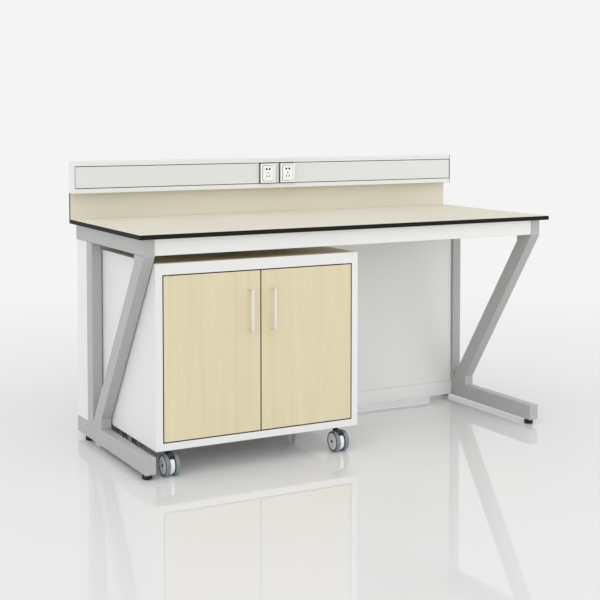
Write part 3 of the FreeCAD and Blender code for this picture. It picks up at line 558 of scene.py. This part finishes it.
def build_wheels(caster):
    """Two wheels on one axle, turned from a profile."""
    node = f"{caster}_caster_wheels"
    centre, size = middle(node)
    hood_size = middle(f"{caster}_caster_hood")[1]
    profile, paints = wheel_profile(size.z / 2.0, hood_size.x / 2.0 + WHEEL_GAP, size.x / 2.0)
    shape = Shape()
    for flip in (-1.0, 1.0):
        turn_x(shape, profile, paints, centre, flip)
    finishes = (TREAD, RIM, CAP, BLACK)
    make_piece(f"{caster}_wheel_pair", shape, f"{caster}_wheels", finishes,
               (node,))


def darken_top(shape, centre):
    """Paint a hood's upper part, between two angles round the axle, dark."""
    for index, face in enumerate(shape.faces):
        total = sum((Vector(shape.verts[corner]) for corner in face), Vector())
        spot = total / len(face) - centre
        if DARK_START < math.degrees(math.atan2(spot.z, -spot.y)) < DARK_END:
            shape.paints[index] = DARK_PAINT


def build_hood(caster):
    """Hood between the wheels, white below and dark above, with a raised rib round its middle."""
    node = f"{caster}_caster_hood"
    centre, size = middle(node)
    half = size.x / 2.0 - HOOD_TRIM
    radius = size.z / 2.0
    profile = [
        (-half, BORE_RADIUS), (-half, radius - 0.003), (-half + 0.0008, radius - 0.0016),
        (-half + 0.0022, radius - 0.0008), (-half * RIB_FOOT, radius - 0.0004),
        (-half * RIB_HALF, radius), (half * RIB_HALF, radius),
        (half * RIB_FOOT, radius - 0.0004), (half - 0.0022, radius - 0.0008),
        (half - 0.0008, radius - 0.0016), (half, radius - 0.003), (half, BORE_RADIUS),
    ]
    shape = Shape()
    turn_x(shape, profile, [HOOD_PAINT] * len(profile), centre, closed=True)
    darken_top(shape, centre)
    make_piece(f"{caster}_hood_cover", shape, f"{caster}_swivel", (HOOD, DARK_METAL),
               (node,))


for caster in CASTERS:
    build_wheels(caster)
    build_hood(caster)


# Levelling feet

FOOT_PAINT, STUD_PAINT = range(2)
FOOT_HEIGHT = 0.02
STUD_RADIUS = 0.005
STUD_EASE = 0.001


def build_foot(name):
    """Moulded foot with a ribbed rim, on a steel stud."""
    low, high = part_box(name)
    radius = (high.x - low.x) / 2.0
    centre = Vector(((low.x + high.x) / 2.0, (low.y + high.y) / 2.0, 0.0))
    pad = [
        (0.0, 0.0), (0.0, radius - 0.003), (0.0006, radius - 0.0016), (0.0018, radius - 0.0005),
        (0.003, radius), (0.0052, radius), (0.0056, radius - 0.0008), (0.0064, radius - 0.0008),
        (0.0068, radius), (0.0128, radius), (0.0140, radius - 0.0008), (0.0165, radius - 0.0022),
        (0.0185, radius - 0.0034), (FOOT_HEIGHT, radius - 0.0042),
    ]
    stud = [
        (FOOT_HEIGHT, STUD_RADIUS), (high.z - STUD_EASE, STUD_RADIUS),
        (high.z, STUD_RADIUS - STUD_EASE), (high.z, 0.0),
    ]
    paints = [FOOT_PAINT] * len(pad) + [STUD_PAINT] * (len(stud) - 1)
    shape = Shape()
    turn_z(shape, pad + stud, paints, centre)
    make_piece(f"{name}_moulding", shape, name, (BLACK, ZINC), (name,))


for foot in FEET:
    build_foot(foot)


# Bow handles

BAR_THICKNESS = 0.006
BAR_BEND = 0.006
BAR_EASE = 0.0018


def rounded_outline(width, height, radius, steps=5):
    """Corner-rounded rectangle about the origin, counter-clockwise."""
    points = []
    corners = ((1, 1, 0.0), (-1, 1, 90.0), (-1, -1, 180.0), (1, -1, 270.0))
    for across, up, start in corners:
        centre_x = across * (width / 2.0 - radius)
        centre_y = up * (height / 2.0 - radius)
        for step in range(steps + 1):
            turn = math.radians(start + 90.0 * step / steps)
            points.append((centre_x + radius * math.cos(turn), centre_y + radius * math.sin(turn)))
    return points


def bow_path(low, high, half, bend, steps=8):
    """Centre line of a bow in Y and Z with its direction, from the lower foot to the upper one."""
    front = low.y + half
    bottom = low.z + half
    top = high.z - half
    path = [((high.y, bottom), (-1.0, 0.0))]
    for step in range(steps + 1):
        turn = math.radians(90.0 * step / steps)
        point = (front + bend - bend * math.sin(turn), bottom + bend - bend * math.cos(turn))
        path.append((point, (-math.cos(turn), math.sin(turn))))
    for step in range(steps + 1):
        turn = math.radians(90.0 * step / steps)
        point = (front + bend - bend * math.cos(turn), top - bend + bend * math.sin(turn))
        path.append((point, (math.sin(turn), math.cos(turn))))
    path.append(((high.y, top), (1.0, 0.0)))
    return path


def build_handle(side):
    """Bow handle: an eased bar drawn along a bent path."""
    node = f"{side}_handle"
    low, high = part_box(node)
    outline = rounded_outline(high.x - low.x, BAR_THICKNESS, BAR_EASE)
    middle_x = (low.x + high.x) / 2.0
    rings = []
    for (y, z), (along_y, along_z) in bow_path(low, high, BAR_THICKNESS / 2.0, BAR_BEND):
        rings.append([
            (middle_x + across, y + along_z * out, z - along_y * out) for across, out in outline
        ])
    shape = Shape()
    shape.rings(rings, [0] * (len(rings) - 1))
    shape.cap(rings[0], 0)
    shape.cap(rings[-1], 0)
    make_piece(f"{side}_bow_handle", shape, f"{side}_door", (SILVER,),
               (node,), HANDLE_SHARP)


for side in SIDES:
    build_handle(side)


# Sockets

PLATE_SIDES = 0.018
PLATE_TRIM = 0.002
PLATE_CORNER = 0.003
INSERT_CORNER = 0.0015
WINDOW_GAP = 0.0002
GROOVE = 0.0028


def slab(outlines, depth):
    """A flat slab; the first outline is the rim and the others are holes."""
    curve = bpy.data.curves.new("outline", "CURVE")
    curve.dimensions = "2D"
    curve.fill_mode = "BOTH"
    curve.extrude = depth / 2.0
    for outline in outlines:
        spline = curve.splines.new("POLY")
        spline.points.add(len(outline) - 1)
        spline.use_cyclic_u = True
        for point, (across, up) in zip(spline.points, outline):
            point.co = (across, up, 0.0, 1.0)
    holder = bpy.data.objects.new("outline", curve)
    scene.collection.objects.link(holder)
    bpy.context.view_layer.update()
    mesh = bpy.data.meshes.new_from_object(holder)
    bpy.data.objects.remove(holder)
    bpy.data.curves.remove(curve)
    return mesh


def stand_up(mesh, centre):
    """Turn a flat slab to face the front, with its middle at a point."""
    for vertex in mesh.vertices:
        across, up, out = vertex.co
        vertex.co = (centre.x + across, centre.y - out, centre.z + up)
    mesh.update()


def tilted(outline, across, up, degrees):
    """An outline turned clockwise and moved to a point."""
    turn = math.radians(degrees)
    points = []
    for a, b in outline:
        x = a * math.cos(turn) + b * math.sin(turn)
        y = b * math.cos(turn) - a * math.sin(turn)
        points.append((across + x, up + y))
    return points


# Outlines by width, height, corner radius and steps in a corner
SLOT = rounded_outline(0.0036, 0.0082, 0.0008, 3)
PAIR_SLOT = rounded_outline(0.0088, 0.009, 0.004, 4)
# Each slot's outline, place across and up, and tilt in degrees
SLOTS = (
    (PAIR_SLOT, -0.007, 0.017, 0.0), (PAIR_SLOT, 0.007, 0.017, 0.0), (SLOT, 0.0, 0.0015, 0.0),
    (SLOT, -0.00625, -0.0125, -30.0), (SLOT, 0.00625, -0.0125, 30.0),
)


def build_socket(side):
    """Socket plate with a window, and a slotted insert in it."""
    node = f"{side}_socket_plate"
    centre, size = middle(node)
    insert_low, insert_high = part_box("socket_inserts")
    insert_depth = insert_high.y - insert_low.y
    width = size.x - PLATE_SIDES
    height = insert_high.z - insert_low.z
    rim = rounded_outline(size.x, size.z - PLATE_TRIM, PLATE_CORNER)
    window = rounded_outline(width + WINDOW_GAP, height + WINDOW_GAP, INSERT_CORNER)
    plate = slab([rim, window[::-1]], size.y)
    stand_up(plate, centre)
    plate.materials.append(PLATE)
    seat_piece(f"{side}_socket_frame", plate, "bench", (node,), SOCKET_SHARP)
    face = rounded_outline(width - GROOVE, height - GROOVE, INSERT_CORNER)
    holes = [tilted(*row)[::-1] for row in SLOTS]
    insert = slab([face] + holes, insert_depth)
    stand_up(insert, Vector((centre.x, insert_low.y + insert_depth / 2.0, centre.z)))
    insert.materials.append(INSERT)
    seat_piece(f"{side}_socket_face", insert, "bench", ("socket_inserts",),
               SOCKET_SHARP)


for side in SIDES:
    build_socket(side)


# Studio: floor, light and camera

BACKDROP = (0.905, 0.905, 0.905, 1.0)
FLOOR_DARKER = (0.79, 0.79, 0.79, 1.0)
FLOOR_PALER = (0.81, 0.81, 0.81, 1.0)
FLOOR_REACH = 40.0
FADE_START = 1.0
FADE_END = 4.0
CAMERA_PLACE = (-2.4055, -4.3351, 1.2565)
CAMERA_TILT = 90.0 - 2.98
CAMERA_TURN = -28.42
SENSOR_WIDTH = 36.0
LENS = 75.49
LENS_SHIFT = -0.2


def in_sight(tree):
    """1 for rays from the camera and mirrored or transmitted ones, 0 for those that carry light."""
    rays = add(tree, "LightPath")
    found = rays.outputs["Is Camera Ray"]
    for kind in ("Is Glossy Ray", "Is Transmission Ray"):
        node = tree.nodes.new("ShaderNodeMath")
        node.operation = "MAXIMUM"
        tree.links.new(found, node.inputs[0])
        tree.links.new(rays.outputs[kind], node.inputs[1])
        found = node.outputs[0]
    return found


def build_floor():
    """Pale polished floor that fades to the backdrop tone away from the bench."""
    mesh = bpy.data.meshes.new("studio_floor")
    signs = ((-1, -1), (1, -1), (1, 1), (-1, 1))
    corners = [(across * FLOOR_REACH, along * FLOOR_REACH, 0.0) for across, along in signs]
    mesh.from_pydata(corners, [], [(0, 1, 2, 3)])
    floor = bpy.data.objects.new("studio_floor", mesh)
    scene.collection.objects.link(floor)
    material, tree, shader, coords = new_material("polished_floor")
    place = coords.outputs["Object"]
    cloud = remap(tree, noise(tree, place, 1.3, 3.0), 0.0, 1.0)
    tone = blend(tree, cloud, FLOOR_DARKER, FLOOR_PALER)
    gloss = remap(tree, noise(tree, place, 8.0), 0.02, 0.045)
    tree.links.new(tone, shader.inputs["Base Color"])
    tree.links.new(gloss, shader.inputs["Roughness"])
    glow = add(tree, "Emission", Color=BACKDROP, Strength=1.0)
    away = tree.nodes.new("ShaderNodeVectorMath")
    away.operation = "LENGTH"
    tree.links.new(place, away.inputs[0])
    fade = remap(tree, away.outputs["Value"], 0.0, 1.0, FADE_START, FADE_END)
    join = tree.nodes.new("ShaderNodeMixShader")
    tree.links.new(both(tree, fade, in_sight(tree)), join.inputs[0])
    tree.links.new(shader.outputs[0], join.inputs[1])
    tree.links.new(glow.outputs[0], join.inputs[2])
    tree.links.new(join.outputs[0], tree.nodes["Material Output"].inputs["Surface"])
    mesh.materials.append(material)


def build_world(level, lean, towards):
    """Soft light from all round, stronger from one side; where seen or mirrored, the backdrop."""
    world = bpy.data.worlds.new("studio")
    scene.world = world
    world.use_nodes = True
    tree = world.node_tree
    side = tree.nodes.new("ShaderNodeVectorMath")
    side.operation = "DOT_PRODUCT"
    tree.links.new(add(tree, "TexCoord").outputs["Generated"], side.inputs[0])
    side.inputs[1].default_value = Vector(towards).normalized()
    light = remap(tree, side.outputs["Value"], level - lean, level + lean, -1.0, 1.0)
    dome = tree.nodes["Background"]
    dome.inputs["Color"].default_value = (1.0, 1.0, 1.0, 1.0)
    tree.links.new(light, dome.inputs["Strength"])
    seen = add(tree, "Background", Color=BACKDROP, Strength=1.0)
    join = tree.nodes.new("ShaderNodeMixShader")
    tree.links.new(in_sight(tree), join.inputs[0])
    tree.links.new(dome.outputs[0], join.inputs[1])
    tree.links.new(seen.outputs[0], join.inputs[2])
    tree.links.new(join.outputs[0], tree.nodes["World Output"].inputs["Surface"])


def area_lamp(name, place, target, size, power):
    """A soft round lamp, aimed at a point, that shows in no reflection."""
    data = bpy.data.lights.new(name, "AREA")
    data.shape = "DISK"
    data.size = size
    data.energy = power
    lamp = bpy.data.objects.new(name, data)
    lamp.location = place
    lamp.rotation_euler = (Vector(target) - Vector(place)).to_track_quat("-Z", "Y").to_euler()
    lamp.visible_glossy = False
    scene.collection.objects.link(lamp)


def build_camera():
    """Camera at the photograph's viewing angle."""
    data = bpy.data.cameras.new("camera")
    data.sensor_width = SENSOR_WIDTH
    data.lens = LENS
    data.shift_y = LENS_SHIFT
    camera = bpy.data.objects.new("camera", data)
    camera.location = CAMERA_PLACE
    camera.rotation_euler = (math.radians(CAMERA_TILT), 0.0, math.radians(CAMERA_TURN))
    scene.collection.objects.link(camera)
    scene.camera = camera


build_floor()
build_world(level=1.15, lean=0.62, towards=(-0.35, -0.32, -0.4))
area_lamp("softbox", place=(-1.0, -2.0, 6.0), target=(0.0, 0.0, 0.5), size=6.0, power=40.0)
area_lamp("fill", place=(2.6, -2.4, 1.0), target=(0.4, 0.0, 0.35), size=1.8, power=11.0)
build_camera()
scene.view_settings.view_transform = "Standard"
